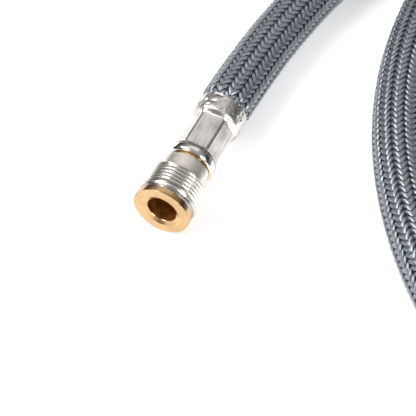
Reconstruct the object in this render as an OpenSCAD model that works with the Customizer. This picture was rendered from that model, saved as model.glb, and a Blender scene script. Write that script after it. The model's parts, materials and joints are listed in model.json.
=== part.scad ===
// Handheld bath sprayer: a thumb-lever sprayer on a braided hose with a threaded supply end.
// Millimetres, +Z up. The floor is Z = 0, and the sprayer lies along X above the origin.

/* [Hose] */
// Outside diameter of the braided hose
hose_d = 13; // [11:0.5:15]
// Thickness of the braid
braid_t = 0.7; // [0.4:0.1:1]
// Bore of the inner hose
liner_bore = 8; // [6:0.5:9]

/* [Supply end] */
// Outside diameter of the fine supply thread
thread_d = 15; // [12:0.5:20]
// Pitch of the supply thread
thread_pitch = 1; // [0.75:0.25:1.5]
// Length of the supply connector
connector_l = 13.8; // [13:0.2:20]
// Bore of the supply connector
connector_bore = 7.5; // [6:0.5:8.5]
// Distance across the wrench flats on the neck
neck_flats = 11; // [10:0.5:12]
// Length of each ferrule
ferrule_l = 17; // [15:0.5:20]
// Number of flats crimped into a ferrule
crimp_flats = 6; // [6:1:10]

/* [Sprayer] */
// Length of the sprayer from its inlet to its face
sprayer_l = 164.5; // [150:0.5:180]
// Diameter of the spray head
head_d = 46; // [40:1:54]
// Diameter of the handle
grip_d = 31; // [28:1:34]
// Outside diameter of the inlet thread
inlet_d = 20.95; // [20:0.05:22]
// Number of rings of nozzles around the middle one
nozzle_rings = 3; // [2:1:4]

/* [Hidden] */

$fn = 72;
eps = 0.01;

// Supply end: the middle of its face on the floor plan, and the heading of its axis.
supply_xy = [-103, 141];
supply_heading = 65;
supply_r = thread_d / 2;
band_l = 1.6;
groove_l = 1.74;
thread_end = 9.4;
thread_depth = 0.62 * thread_pitch;
neck_r = 6.2;
spigot_r = 4.55;
socket_r = spigot_r + 0.05;
stem_bore_r = 2.2;
rim_at = connector_l + 1.1;
rim_r = 6.1;
rim_l = 2.5;
tail_r = 2.95;

// Ferrule and hose stations, measured from the same plane as the connector's face.
ferrule_at = rim_at + rim_l + 0.1;
ferrule_end = ferrule_at + ferrule_l;
crimp_l = 0.65 * ferrule_l;
crimp_r = 4.2;
crimp_flat_r = 4.9;
crimp_round_r = 5.4;
crimp_turn = 5;
flats_turn = 95;
collar_r = 6.4;
collar_in_r = 5.95;
lip_r = 5.95;
hose_r = hose_d / 2;
tail_end = ferrule_end - 1.4;

// Sprayer: distances along its axis run from the inlet end, at x = inlet_x, towards -X.
axis_z = head_d / 2;
inlet_x = 75;
grip_r = grip_d / 2;
head_r = head_d / 2;
wall = 2.2;
valve_at = 82;
chamber_r = 5;
land_r = chamber_r - 0.05;
rod_r = 2.5;
rod_top = 26;
cap_h = 2;
port_r = 1.8;
pin_at = 52;
pin_x = 21;
pin_r = 1.5;
lever_under = rod_top + cap_h + 0.3;
nozzle_step = 5.2;
flare_from = 122;
flare_to = 151;
grip_from = 62;

// The hose's route on the floor plan: hand-set points from the supply ferrule, the coil's
// turns by formula, and hand-set points over the outer turn to the sprayer.
supply_tail = [[-76, 196, 7], [-62, 217, 6.5], [-45.5, 235.5, 6.5]];
coil_centre = [80, 160];
coil_from = 132;
coil_turn = 420;
coil_step = 15;
coil_r = 141;
coil_drop = 17.2;
sprayer_lead = [
    [141, 266, 7.5], [162, 251, 11.5], [180, 233, 18], [197, 212, 21], [214, 186, 20.5],
    [225, 155, 18], [227, 121, 13.5], [220, 86, 10.5], [203, 53, 10.5], [177, 27, 13],
    [155, 10, 17.5], [133, 2, 21.5], [115, 0, 23]
];

supply_dir = [cos(supply_heading), sin(supply_heading), 0];
function on_supply(s) = [supply_xy[0], supply_xy[1], supply_r] + s * supply_dir;
function on_sprayer(s) = [inlet_x + s, 0, axis_z];
function coil_point(turned) =
    let (r = coil_r - coil_drop * turned / 360, a = coil_from - turned)
    [coil_centre[0] + r * cos(a), coil_centre[1] + r * sin(a), hose_r];
free_route = concat(
    supply_tail,
    [for (turned = [0 : coil_step : coil_turn]) coil_point(turned)],
    sprayer_lead
);

// Stations inside a ferrule: how far along, and how much the crimp takes off the radius.
pinch = hose_r - crimp_r + 0.05;
ease = hose_r - collar_in_r + 0.05;
stations = [
    [ferrule_at + 1, pinch], [ferrule_at + crimp_l - 0.5, pinch],
    [ferrule_at + crimp_l + 2, ease], [ferrule_end, ease], [ferrule_end + 2, 0]
];
last = len(stations) - 1;
hose_points = concat(
    [for (k = [0 : last]) on_supply(stations[k][0])],
    free_route,
    [for (k = [last : -1 : 0]) on_sprayer(stations[k][0])]
);
hose_pinch = concat(
    [for (k = [0 : last]) stations[k][1]],
    [for (p = free_route) 0],
    [for (k = [last : -1 : 0]) stations[k][1]]
);

// One closed tube through the points: an outer and an inner skin, joined at both ends.
function unit(v) = v / norm(v);
function heading(p, i) = unit(p[min(i + 1, len(p) - 1)] - p[max(i - 1, 0)]);
function ring(p, i, r, sides) =
    let (t = heading(p, i), side = unit(cross([0, 0, 1], t)), up = cross(t, side))
    [for (k = [0 : sides - 1])
        let (a = 360 * k / sides) p[i] + r * (cos(a) * side + sin(a) * up)];

module hose_tube(p, outer, inner, sides = 12) {
    count = len(p);
    skin = [for (i = [0 : count - 1]) each ring(p, i, outer[i], sides)];
    core = [for (i = [0 : count - 1]) each ring(p, i, inner[i], sides)];
    base = count * sides;
    end = base - sides;
    walls = [for (i = [0 : count - 2], k = [0 : sides - 1])
        let (a = i * sides + k, b = i * sides + (k + 1) % sides)
        each [[a, a + sides, b + sides, b], [base + b, base + b + sides, base + a + sides, base + a]]];
    ends = [for (k = [0 : sides - 1])
        let (n = (k + 1) % sides)
        each [[k, n, base + n, base + k], [end + n, end + k, base + end + k, base + end + n]]];
    polyhedron(points = concat(skin, core), faces = concat(walls, ends), convexity = 20);
}

// Places a shape that is turned about +Z, with its face at Z = 0, on the supply end's axis.
module at_supply() {
    translate([supply_xy[0], supply_xy[1], supply_r])
        rotate([0, 90, supply_heading]) children();
}

// Places a shape whose +Z is the way the water flows, with the inlet end at Z = 0.
module at_sprayer() {
    translate([inlet_x, 0, axis_z]) rotate([0, -90, 0]) children();
}

// Turns the hose's end pieces round, so that they point back along the hose.
module at_sprayer_hose() {
    translate([inlet_x, 0, axis_z]) rotate([0, 90, 0]) children();
}

module tube_of(r_out, r_in, from, to) {
    translate([0, 0, from]) difference() {
        cylinder(r = r_out, h = to - from);
        translate([0, 0, -1]) cylinder(r = r_in, h = to - from + 2);
    }
}

module torus(ring_r, wire_r) {
    rotate_extrude() translate([ring_r, 0]) circle(r = wire_r, $fn = 24);
}

// The saw-tooth half section of a thread, from one end to the other.
function thread_outline(crest, depth, pitch, from, to) =
    let (turns = floor((to - from) / pitch))
    [for (k = [0 : turns - 1]) each [
        [crest - depth, from + k * pitch],
        [crest, from + (k + 0.42) * pitch],
        [crest, from + (k + 0.58) * pitch]
    ]];

module ferrule() {
    collar_at = ferrule_at + crimp_l;
    color("silver") difference() {
        union() {
            translate([0, 0, ferrule_at]) intersection() {
                cylinder(r = crimp_round_r, h = crimp_l + 0.5);
                rotate([0, 0, crimp_turn + 180 / crimp_flats]) cylinder(
                    r = crimp_flat_r / cos(180 / crimp_flats),
                    h = crimp_l + 0.5,
                    $fn = crimp_flats
                );
            }
            translate([0, 0, ferrule_at]) cylinder(r = lip_r, h = 0.4);
            translate([0, 0, ferrule_at + 0.4 - eps]) cylinder(r1 = lip_r, r2 = crimp_flat_r, h = 0.6);
            translate([0, 0, collar_at]) cylinder(r1 = crimp_round_r, r2 = collar_r, h = 1.3);
            translate([0, 0, collar_at + 1.3]) cylinder(r = collar_r, h = ferrule_l - crimp_l - 1.3);
        }
        translate([0, 0, ferrule_at - 1]) cylinder(r = tail_r + 0.05, h = 3);
        translate([0, 0, ferrule_at + 0.8]) cylinder(r = crimp_r, h = crimp_l);
        translate([0, 0, collar_at]) cylinder(r1 = crimp_r, r2 = collar_in_r, h = 1.5);
        translate([0, 0, collar_at + 1.5 - eps]) cylinder(r = collar_in_r, h = ferrule_l);
    }
}

module supply_connector() {
    at_supply() color("gainsboro") difference() {
        rotate_extrude() polygon(concat(
            [[0, 0], [supply_r - 0.55, 0], [supply_r - 0.35, 0.2], [supply_r - 0.35, band_l]],
            [[supply_r - 0.9, band_l + 0.2], [supply_r - 0.9, band_l + 0.7]],
            [[supply_r - 0.5, band_l + 1], [supply_r - 0.5, band_l + 1.3]],
            thread_outline(supply_r, thread_depth, thread_pitch, band_l + groove_l, thread_end),
            [[supply_r - thread_depth, thread_end], [neck_r + 0.15, thread_end + 0.3]],
            [[neck_r, thread_end + 0.6], [neck_r, connector_l], [0, connector_l]]
        ));
        translate([0, 0, -1]) cylinder(r = connector_bore / 2, h = connector_l + 2);
        translate([0, 0, -eps])
            cylinder(r1 = connector_bore / 2 + 1, r2 = connector_bore / 2, h = 1 + eps);
        translate([0, 0, 6]) cylinder(r = socket_r, h = connector_l);
        for (turn = [0, 180])
            rotate([0, 0, turn + flats_turn]) translate([neck_flats / 2, -10, thread_end + 0.1])
                cube([10, 20, connector_l]);
    }
}

module connector_retainer() {
    at_supply() color("goldenrod") tube_of(5.5, 4, connector_l, connector_l + 0.7);
}

module supply_stem() {
    at_supply() color("silver") difference() {
        union() {
            translate([0, 0, 6.4]) cylinder(r = spigot_r, h = rim_at - 6.4);
            translate([0, 0, rim_at]) rim();
            translate([0, 0, rim_at + rim_l - eps]) cylinder(r = tail_r, h = tail_end - rim_at - rim_l);
        }
        translate([0, 0, 5]) cylinder(r = stem_bore_r, h = tail_end);
        tube_of(spigot_r + 1, 3.6, 7.9, 9.1);
        tube_of(spigot_r + 1, 3.6, 11.4, 12.6);
        tube_of(spigot_r + 1, 3.9, connector_l - 0.3, rim_at);
    }
}

module rim() {
    rotate_extrude() union() {
        square([rim_r - 0.7, rim_l]);
        translate([0, 0.7]) square([rim_r, rim_l - 1.4]);
        translate([rim_r - 0.7, 0.7]) circle(r = 0.7, $fn = 32);
        translate([rim_r - 0.7, rim_l - 0.7]) circle(r = 0.7, $fn = 32);
    }
}

module stem_o_ring_front() {
    at_supply() color("dimgray") translate([0, 0, 8.5]) torus(4.1, 0.48);
}

module stem_o_ring_rear() {
    at_supply() color("dimgray") translate([0, 0, 12]) torus(4.1, 0.48);
}

module supply_ferrule() {
    at_supply() ferrule();
}

module hose_liner() {
    outer = hose_r - braid_t - 0.05;
    inner = liner_bore / 2;
    color("darkgray") hose_tube(
        hose_points,
        [for (q = hose_pinch) outer - q],
        [for (q = hose_pinch) inner - 0.44 * q]
    );
}

module hose_braid() {
    color("slategray") hose_tube(
        hose_points,
        [for (q = hose_pinch) hose_r - q],
        [for (q = hose_pinch) hose_r - braid_t - q]
    );
}

module sprayer_ferrule() {
    at_sprayer_hose() ferrule();
}

module sprayer_stem() {
    at_sprayer_hose() color("silver") difference() {
        union() {
            translate([0, 0, 2.3]) cylinder(r = 8.4, h = 1.9);
            translate([0, 0, 4.2 - eps]) cylinder(r = spigot_r, h = rim_at - 4.2 + eps);
            translate([0, 0, rim_at - eps]) rim();
            translate([0, 0, rim_at + rim_l - 2 * eps])
                cylinder(r = tail_r, h = tail_end - rim_at - rim_l);
        }
        translate([0, 0, 1]) cylinder(r = stem_bore_r, h = tail_end + 2);
    }
}

module swivel_nut() {
    nut_r = 12.2;
    at_sprayer_hose() color("silver") difference() {
        union() {
            translate([0, 0, -9]) intersection() {
                cylinder(r = nut_r, h = 12);
                cylinder(r = 11.9 / cos(30), h = 12, $fn = 6);
            }
            translate([0, 0, -11]) cylinder(r = 11.9, h = 2.5);
            translate([0, 0, 3 - eps]) cylinder(r1 = 11.9, r2 = 7, h = 11.5);
        }
        translate([0, 0, -12]) cylinder(r = inlet_d / 2 + 0.1, h = 16.5);
        translate([0, 0, 4]) cylinder(r = socket_r, h = 12);
    }
}

module nut_washer() {
    at_sprayer_hose() color("black") tube_of(9.4, 5, 0, 2);
}

module inlet_strainer() {
    at_sprayer() color("lightgray") difference() {
        union() {
            tube_of(6.4, 5, 0.2, 1.4);
            translate([0, 0, 0.6]) cylinder(r = 5.2, h = 0.5);
        }
        for (k = [0 : 5])
            rotate([0, 0, 60 * k]) translate([3, 0, 0]) cylinder(r = 0.8, h = 2, $fn = 24);
    }
}

module flow_restrictor() {
    at_sprayer() color("seagreen") difference() {
        translate([0, 0, 10]) cylinder(r = 6.4, h = 4);
        translate([0, 0, 9]) cylinder(r = 1.6, h = 6);
    }
}

module waterway() {
    block_from = valve_at - 13;
    block_to = valve_at + 13;
    at_sprayer() color("silver") difference() {
        union() {
            rotate_extrude() polygon(concat(
                [[0, 0]],
                thread_outline(inlet_d / 2, 1.16, 1.814, 0.6, 11.5),
                [[9.3, 11.5], [9.3, 13], [11.5, 13], [11.5, 16.5], [8.5, 16.5], [8.5, block_from]],
                [[11.5, block_from], [11.5, block_to], [7.5, block_to], [7.5, 132], [0, 132]]
            ));
            translate([0, 0, valve_at]) rotate([0, 90, 0]) cylinder(r = 7.5, h = 14.5);
        }
        translate([0, 0, -1]) cylinder(r = 6.5, h = 15);
        translate([0, 0, 13]) cylinder(r = 4.5, h = block_from - 10);
        translate([0, 0, block_to - 3]) cylinder(r = 4.5, h = 60);
        translate([0, 0, block_from - 1]) cylinder(r = port_r, h = 28);
        translate([-8.4, 0, valve_at]) rotate([0, 90, 0]) cylinder(r = chamber_r, h = 24);
        translate([11, 0, valve_at]) rotate([0, 90, 0]) cylinder(r = 6, h = 5);
    }
}

module gland_nut() {
    at_sprayer() color("silver") translate([0, 0, valve_at]) rotate([0, 90, 0]) difference() {
        union() {
            translate([0, 0, 11.3]) cylinder(r = 5.95, h = 3.4);
            translate([0, 0, 14.6]) cylinder(r = 7.2, h = 2.4, $fn = 6);
        }
        cylinder(r = rod_r + 0.05, h = 20);
    }
}

module valve_stem() {
    at_sprayer() color("gainsboro") translate([0, 0, valve_at]) rotate([0, 90, 0]) difference() {
        union() {
            translate([0, 0, -4]) cylinder(r = land_r, h = 6.3);
            translate([0, 0, 2]) cylinder(r = 2.2, h = 5);
            translate([0, 0, 6.6]) cylinder(r = land_r, h = 4.2);
            translate([0, 0, 10]) cylinder(r = rod_r, h = rod_top - 10 + eps);
            translate([0, 0, rod_top]) cylinder(r = 4.5, h = cap_h - 0.8);
            translate([0, 0, rod_top + cap_h - 0.8 - eps]) cylinder(r1 = 4.5, r2 = 2, h = 0.8 + eps);
        }
        tube_of(land_r + 1, 3.9, -2.9, -1.7);
        tube_of(land_r + 1, 3.9, 8.1, 9.3);
    }
}

module valve_seal_lower() {
    at_sprayer() color("black") translate([0, 0, valve_at]) rotate([0, 90, 0])
        translate([0, 0, -2.3]) torus(4.44, 0.5);
}

module valve_seal_upper() {
    at_sprayer() color("black") translate([0, 0, valve_at]) rotate([0, 90, 0])
        translate([0, 0, 8.7]) torus(4.44, 0.5);
}

// The return spring, as five stacked rings joined by a thin sleeve.
module valve_spring() {
    from = 17.1;
    to = rod_top - 0.1;
    at_sprayer() color("silver") translate([0, 0, valve_at]) rotate([0, 90, 0]) {
        for (k = [0 : 4])
            translate([0, 0, from + 0.45 + k * (to - from - 0.9) / 4]) torus(3.6, 0.45);
        tube_of(3.7, 3.5, from + 0.45, to - 0.45);
    }
}

// The handle swells a little in the middle, then flares to the head.
function handle_r(at) = grip_r - 0.9 * pow((at - 78) / 46, 2);
function flare_r(at) =
    let (f = (at - flare_from) / (flare_to - flare_from), s = f * f * (3 - 2 * f))
    handle_r(flare_from) + (head_r - 1 - handle_r(flare_from)) * s;

module body_shell() {
    at_sprayer() color("white") difference() {
        union() {
            rotate_extrude() polygon(concat(
                [[13, 13.2], [14.2, 14.4]],
                [for (at = [30 : 8 : flare_from - 4]) [handle_r(at), at]],
                [for (k = [0 : 12])
                    let (at = flare_from + k * (flare_to - flare_from) / 12)
                    [flare_r(at), at]],
                [[head_r - 1, 156], [0, 156], [0, 13.2]]
            ));
            for (side = [-1, 1]) ear(side);
        }
        for (at = [grip_from : 6 : grip_from + 36])
            translate([0, 0, at]) torus(handle_r(at) + 0.3, 0.8);
        rotate_extrude() polygon([
            [0, 16.8], [12, 16.8], [12.4, 30], [grip_r - wall, 60], [grip_r - wall, 100],
            [12, 118], [7.6, 124], [7.6, 132.1], [15.5, 138], [19.4, 147], [19.4, 157], [0, 157]
        ]);
        translate([0, 0, 12]) cylinder(r = 11.6, h = 6);
        translate([0, 0, valve_at]) rotate([0, 90, 0]) cylinder(r = 8, h = 30);
        translate([pin_x, 0, pin_at]) rotate([90, 0, 0]) cylinder(r = pin_r, h = 30, center = true);
    }
}

module ear(side) {
    translate([0, side * 7.25, pin_at]) rotate([90, 0, 0]) translate([0, 0, -1.25]) linear_extrude(2.5)
        union() {
            translate([pin_x, 0]) circle(r = 4);
            translate([10, -6]) square([6, 12]);
            polygon([[14, -6], [14, 6], [pin_x, 4], [pin_x, -4]]);
        }
}

module thumb_lever() {
    t = 2.6;
    at_sprayer() color("slategray") difference() {
        union() {
            translate([0, 0, pin_at]) rotate([90, 0, 0]) linear_extrude(11, center = true) polygon([
                [pin_x - 3, -3], [pin_x + 1, -4], [lever_under + t - 2, 8], [lever_under + t, 16],
                [lever_under + t, 26], [lever_under, 26], [lever_under, 16], [lever_under - 4, 9],
                [pin_x - 3, 3]
            ]);
            intersection() {
                translate([0, 0, pin_at]) rotate([90, 0, 0]) linear_extrude(18, center = true) polygon([
                    [lever_under, 18], [lever_under + t, 18], [lever_under + t + 0.6, 40],
                    [lever_under + t + 2.4, 60], [lever_under + t + 1.6, 66], [lever_under + 1, 65.5],
                    [lever_under, 60]
                ]);
                translate([lever_under - 1, 0, pin_at]) rotate([0, 90, 0]) linear_extrude(8) hull() {
                    translate([-20, 0]) square([4, 11], center = true);
                    for (side = [-1, 1]) translate([-60, 3 * side]) circle(r = 6);
                }
            }
            for (k = [0 : 4])
                translate([lever_under + t + 0.65 + 0.27 * k, 0, pin_at + 42 + 3 * k])
                    rotate([90, 0, 0]) cylinder(r = 0.5, h = 11, center = true, $fn = 24);
            translate([pin_x, 0, pin_at]) rotate([90, 0, 0]) cylinder(r = 3.8, h = 11, center = true);
        }
        translate([pin_x, 0, pin_at]) rotate([90, 0, 0])
            cylinder(r = pin_r + 0.05, h = 20, center = true);
    }
}

module lever_pin() {
    at_sprayer() color("silver") translate([pin_x, 0, pin_at]) rotate([90, 0, 0])
        cylinder(r = pin_r, h = 17.6, center = true);
}

module diffuser() {
    at_sprayer() color("lightgray") difference() {
        translate([0, 0, 150.5]) cylinder(r = 19.2, h = 2);
        for (k = [0 : 7])
            rotate([0, 0, 45 * k]) translate([12, 0, 149]) cylinder(r = 1.6, h = 5, $fn = 24);
    }
}

module face_gasket() {
    at_sprayer() color("black") translate([0, 0, 153.4]) torus(18.2, 0.85);
}

module nozzle_plate() {
    top = sprayer_l - 1.6;
    at_sprayer() color("dimgray") difference() {
        union() {
            translate([0, 0, 156.3]) cylinder(r = 20.4, h = top - 156.3);
            nozzles() translate([0, 0, top - eps]) cylinder(r1 = 1.5, r2 = 1.1, h = 1.4, $fn = 24);
        }
        nozzles() translate([0, 0, 155]) cylinder(r = 0.6, h = 12, $fn = 16);
    }
}

module nozzles() {
    children();
    for (ring = [1 : nozzle_rings], k = [0 : 6 * ring - 1])
        rotate([0, 0, 60 * k / ring]) translate([ring * nozzle_step, 0, 0]) children();
}

module face_ring() {
    at_sprayer() color("silver") rotate_extrude() polygon([
        [20.6, 156.2], [head_r - 0.6, 156.2], [head_r, 156.8], [head_r, 163.3],
        [head_r - 1.2, sprayer_l], [19.4, sprayer_l], [19, sprayer_l - 1.4], [20.6, sprayer_l - 1.4]
    ]);
}

supply_connector();
connector_retainer();
supply_stem();
stem_o_ring_front();
stem_o_ring_rear();
supply_ferrule();
hose_liner();
hose_braid();
sprayer_ferrule();
sprayer_stem();
swivel_nut();
nut_washer();
inlet_strainer();
flow_restrictor();
waterway();
body_shell();
gland_nut();
valve_stem();
valve_seal_lower();
valve_seal_upper();
valve_spring();
thumb_lever();
lever_pin();
diffuser();
face_gasket();
nozzle_plate();
face_ring();
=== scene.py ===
"""Handheld bath sprayer: a braided hose with a threaded supply end and a thumb-lever sprayer.

Sizes are in millimetres unless a name or a note says otherwise, and MM takes them to the metres of
the row frame. An end's own axis runs from its face back along the hose.
"""

import json
import logging
import math
from dataclasses import dataclass, field
from enum import Enum
from typing import Sequence

import bmesh
import bpy
import numpy as np
from mathutils import Matrix, Vector, noise


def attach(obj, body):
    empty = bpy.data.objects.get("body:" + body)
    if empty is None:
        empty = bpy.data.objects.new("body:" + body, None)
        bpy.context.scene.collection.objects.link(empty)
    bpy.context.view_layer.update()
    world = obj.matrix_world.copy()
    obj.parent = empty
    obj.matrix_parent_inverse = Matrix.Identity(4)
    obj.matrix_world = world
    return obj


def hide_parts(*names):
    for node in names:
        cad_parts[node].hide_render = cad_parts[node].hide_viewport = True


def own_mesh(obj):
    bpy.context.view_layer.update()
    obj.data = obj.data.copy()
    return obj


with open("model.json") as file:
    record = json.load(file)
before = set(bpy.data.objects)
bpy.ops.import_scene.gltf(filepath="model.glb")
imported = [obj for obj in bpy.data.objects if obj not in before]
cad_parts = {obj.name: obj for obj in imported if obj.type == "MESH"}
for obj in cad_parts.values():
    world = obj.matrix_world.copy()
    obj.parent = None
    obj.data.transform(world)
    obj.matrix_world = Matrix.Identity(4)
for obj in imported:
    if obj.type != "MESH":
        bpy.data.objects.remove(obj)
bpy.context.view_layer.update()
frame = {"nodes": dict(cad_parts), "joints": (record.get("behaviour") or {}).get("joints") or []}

LOG = logging.getLogger("sprayer")
MM = 0.001
JOINTS = {joint["name"]: joint for joint in frame["joints"]}

Outline = Sequence[tuple[float, float]]


# ---------------------------------------------------------------------------------------------
# The hose's two ends
# ---------------------------------------------------------------------------------------------


class Side(Enum):
    """The two ends of the hose."""

    SUPPLY = "supply"
    SPRAYER = "sprayer"


def axis_joint(side: Side) -> dict:
    """The record's joint on an end's axis."""
    return JOINTS["connector_spin" if side is Side.SUPPLY else "sprayer_swivel"]


def heading(side: Side) -> float:
    """The heading of an end's axis on the floor plan, in radians."""
    x, y, _ = axis_joint(side)["axis"]
    return math.atan2(y, x)


def axis_frame(side: Side) -> dict[str, tuple[float, float, float]]:
    """The centre and turn that a finish needs to follow an end's axis, in metres and radians."""
    return {"centre": tuple(axis_joint(side)["pos_m"]), "turn": (0, math.pi / 2, heading(side))}


def end_matrix(side: Side) -> Matrix:
    """Where an end's own axis lies: +Z from the end's face back along the hose, in millimetres.

    Args:
        side: which end.

    Returns:
        The transform from the end's own millimetres to the row frame.
    """
    turn = Matrix.Rotation(heading(side), 4, "Z") @ Matrix.Rotation(math.pi / 2, 4, "Y")
    return Matrix.Translation(axis_joint(side)["pos_m"]) @ turn @ Matrix.Scale(MM, 4)


# ---------------------------------------------------------------------------------------------
# Shader helpers and finishes
# ---------------------------------------------------------------------------------------------


class Sheet:
    """A node tree with short ways to add, set and join its nodes."""

    def __init__(self, tree: bpy.types.NodeTree) -> None:
        """Keeps the tree that nodes are added to."""
        self.tree = tree

    def add(self, kind: str, inputs: dict | None = None, **settings) -> bpy.types.Node:
        """Adds a node.

        Args:
            kind: the node's type name, without "ShaderNode".
            inputs: socket name or index to a value, or to a socket to join it to.
            settings: the node's own properties.

        Returns:
            The new node.
        """
        node = self.tree.nodes.new("ShaderNode" + kind)
        for name, value in settings.items():
            setattr(node, name, value)
        for name, value in (inputs or {}).items():
            if isinstance(value, bpy.types.NodeSocket):
                self.tree.links.new(value, node.inputs[name])
            else:
                node.inputs[name].default_value = value
        return node

    def group(self, tree: bpy.types.NodeTree, inputs: dict | None = None) -> bpy.types.Node:
        """Places a node group, with its inputs by name."""
        return self.add("Group", inputs, node_tree=tree)

    def calc(self, operation: str, *values: bpy.types.NodeSocket | float) -> bpy.types.NodeSocket:
        """Works out a value from one or two others."""
        return self.add("Math", dict(enumerate(values)), operation=operation).outputs[0]

    def ramp(
        self, factor: bpy.types.NodeSocket, stops: Sequence[tuple[float, float]]
    ) -> bpy.types.NodeSocket:
        """Maps a value through stops of (place, grey).

        Args:
            factor: the value to map.
            stops: places from 0 to 1 with the grey at each.

        Returns:
            The ramp's colour socket.
        """
        node = self.add("ValToRGB", {0: factor})
        elements = node.color_ramp.elements
        while len(elements) < len(stops):
            elements.new(0.5)
        for element, (place, grey) in zip(elements, stops, strict=True):
            element.position = place
            element.color = (grey, grey, grey, 1)
        return node.outputs["Color"]


def new_group(
    name: str, inputs: Sequence[tuple[str, str, float]], outputs: Sequence[tuple[str, str]]
) -> tuple[Sheet, bpy.types.Node, bpy.types.Node]:
    """Starts a shader node group.

    Args:
        name: the group's name.
        inputs: name, socket type and default of each input; a vector's default is left alone.
        outputs: name and socket type of each output.

    Returns:
        The sheet of the group, its input node and its output node.
    """
    tree = bpy.data.node_groups.new(name, "ShaderNodeTree")
    for title, kind, default in inputs:
        socket = tree.interface.new_socket(name=title, in_out="INPUT", socket_type=kind)
        if kind == "NodeSocketFloat":
            socket.default_value = default
    for title, kind in outputs:
        tree.interface.new_socket(name=title, in_out="OUTPUT", socket_type=kind)
    sheet = Sheet(tree)
    return sheet, tree.nodes.new("NodeGroupInput"), tree.nodes.new("NodeGroupOutput")


def grain_group() -> bpy.types.NodeTree:
    """Fine even grain with a softer, wider unevenness laid over it.

    Returns:
        The group, with a Height and a Patches output.
    """
    name = "fine_grain"
    if name in bpy.data.node_groups:
        return bpy.data.node_groups[name]
    sheet, start, end = new_group(
        name,
        [
            ("Vector", "NodeSocketVector", 0),
            ("Grain", "NodeSocketFloat", 4000),
            ("Patch", "NodeSocketFloat", 300),
        ],
        [("Height", "NodeSocketFloat"), ("Patches", "NodeSocketFloat")],
    )
    fine = sheet.add(
        "TexNoise",
        {"Vector": start.outputs["Vector"], "Scale": start.outputs["Grain"], "Detail": 3.0},
    )
    wide = sheet.add(
        "TexNoise",
        {"Vector": start.outputs["Vector"], "Scale": start.outputs["Patch"], "Detail": 4.0},
    )
    sheet.tree.links.new(fine.outputs["Fac"], end.inputs["Height"])
    sheet.tree.links.new(wide.outputs["Fac"], end.inputs["Patches"])
    return sheet.tree


def streak_group() -> bpy.types.NodeTree:
    """Fine lines that run one way, as turning and drawing leave them.

    Returns:
        The group, with a Height output; its Vector is already stretched along the lines.
    """
    name = "fine_lines"
    if name in bpy.data.node_groups:
        return bpy.data.node_groups[name]
    sheet, start, end = new_group(
        name,
        [("Vector", "NodeSocketVector", 0), ("Scale", "NodeSocketFloat", 1)],
        [("Height", "NodeSocketFloat")],
    )
    lines = sheet.add(
        "TexNoise",
        {"Vector": start.outputs["Vector"], "Scale": start.outputs["Scale"], "Detail": 5.0},
    )
    sheet.tree.links.new(lines.outputs["Fac"], end.inputs["Height"])
    return sheet.tree


@dataclass(frozen=True)
class Finish:
    """What a surface is made of. Each kind of finish draws its own nodes."""

    name: str
    colour: tuple[float, float, float]
    roughness: float = 0.4

    def material(self) -> bpy.types.Material:
        """Makes the material, or finds it if it has been made.

        Returns:
            The material.
        """
        known = bpy.data.materials.get(self.name)
        if known:
            return known
        made = bpy.data.materials.new(self.name)
        made.use_nodes = True
        made.diffuse_color = (*self.colour, 1)
        sheet = Sheet(made.node_tree)
        shader = made.node_tree.nodes["Principled BSDF"]
        shader.inputs["Base Color"].default_value = (*self.colour, 1)
        shader.inputs["Roughness"].default_value = self.roughness
        self.draw(sheet, shader)
        return made

    def draw(self, sheet: Sheet, shader: bpy.types.Node) -> None:
        """Adds the finish's own nodes to the shader."""

    def shade(
        self, sheet: Sheet, shader: bpy.types.Node, factor: bpy.types.NodeSocket, darker: float
    ) -> None:
        """Lets the colour fall to a darker tone where a value is low.

        Args:
            sheet: the material's nodes.
            shader: the material's shader.
            factor: the value, from 0 to 1.
            darker: how much of the colour is left at 0.
        """
        low = tuple(c * darker for c in self.colour)
        mix = sheet.add("Mix", {0: factor, 6: (*low, 1), 7: (*self.colour, 1)}, data_type="RGBA")
        sheet.tree.links.new(mix.outputs[2], shader.inputs["Base Color"])

    def raise_height(
        self, sheet: Sheet, shader: bpy.types.Node, height: bpy.types.NodeSocket, depth_mm: float
    ) -> None:
        """Turns a height into a bump.

        Args:
            sheet: the material's nodes.
            shader: the material's shader.
            height: the height socket, from 0 to 1.
            depth_mm: the depth of the relief, in millimetres.
        """
        bump = sheet.add("Bump", {"Height": height, "Distance": depth_mm * MM, "Strength": 1.0})
        sheet.tree.links.new(bump.outputs["Normal"], shader.inputs["Normal"])


@dataclass(frozen=True)
class Grained(Finish):
    """A surface with a fine grain and softer, wider patches."""

    grain: float = 4000
    patch: float = 420

    def add_grain(self, sheet: Sheet, place: bpy.types.NodeSocket) -> bpy.types.Node:
        """Places the grain at the finish's own scales; it gives a Height and Patches."""
        scales = {"Vector": place, "Grain": self.grain, "Patch": self.patch}
        return sheet.group(grain_group(), scales)


@dataclass(frozen=True)
class Plate(Grained):
    """Metal with a fine grain: tumbled, plated or bare."""

    depth_mm: float = 0.004
    spread: float = 0.1
    darker: float = 0.85

    def draw(self, sheet: Sheet, shader: bpy.types.Node) -> None:
        """Adds grain to the relief and patches to the tone and the gloss.

        Args:
            sheet: the material's nodes.
            shader: the material's shader.
        """
        shader.inputs["Metallic"].default_value = 1.0
        place = sheet.add("TexCoord").outputs["Object"]
        grain = self.add_grain(sheet, place)
        self.raise_height(sheet, shader, grain.outputs["Height"], self.depth_mm)
        low, high = self.roughness - self.spread, self.roughness + self.spread
        rough = sheet.ramp(grain.outputs["Patches"], [(0.3, max(low, 0.03)), (0.7, high)])
        sheet.tree.links.new(rough, shader.inputs["Roughness"])
        tone = sheet.ramp(grain.outputs["Patches"], [(0.35, 0.0), (0.6, 1.0)])
        self.shade(sheet, shader, tone, self.darker)


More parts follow.
